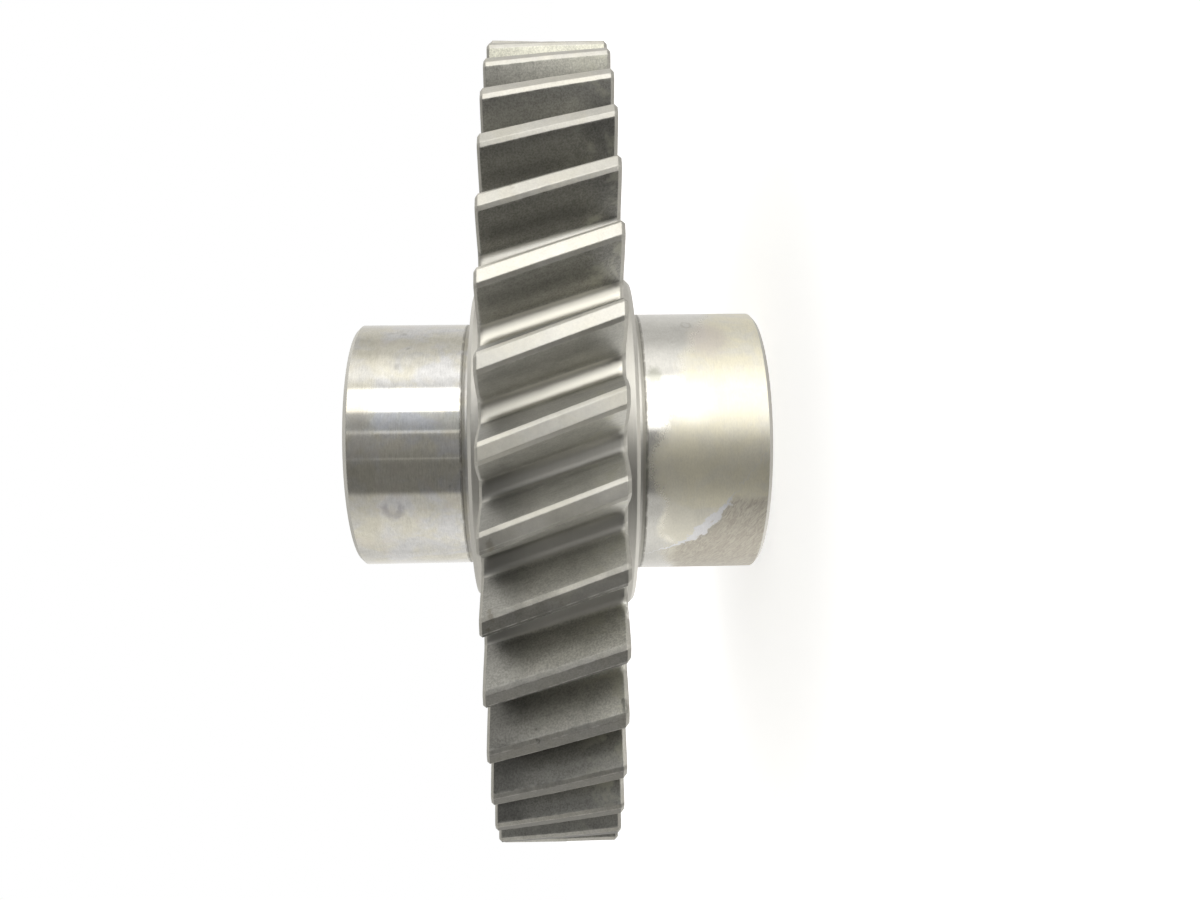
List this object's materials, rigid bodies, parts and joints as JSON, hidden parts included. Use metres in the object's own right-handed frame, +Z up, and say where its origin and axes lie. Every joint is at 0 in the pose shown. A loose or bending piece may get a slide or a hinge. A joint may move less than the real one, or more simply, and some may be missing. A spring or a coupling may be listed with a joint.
{
  "type": "power take-off gear",
  "caption": "Helical steel gear on a hollow hub with a ground bearing journal on each side and a splined bore.",
  "frame": {"origin": "centre of the lower hub end face, the end of the thicker journal", "axes": "+Z up along the bore from the thicker journal to the thinner one; +X through the middle of a tooth at half the face width"},
  "size_m": [0.2222, 0.2222, 0.1135],
  "materials": {
    "machined_steel": "ground journals, matt blasted tooth flanks"
  },
  "bodies": {
    "root": {"helical_gear": "machined_steel"}
  },
  "joints": []
}
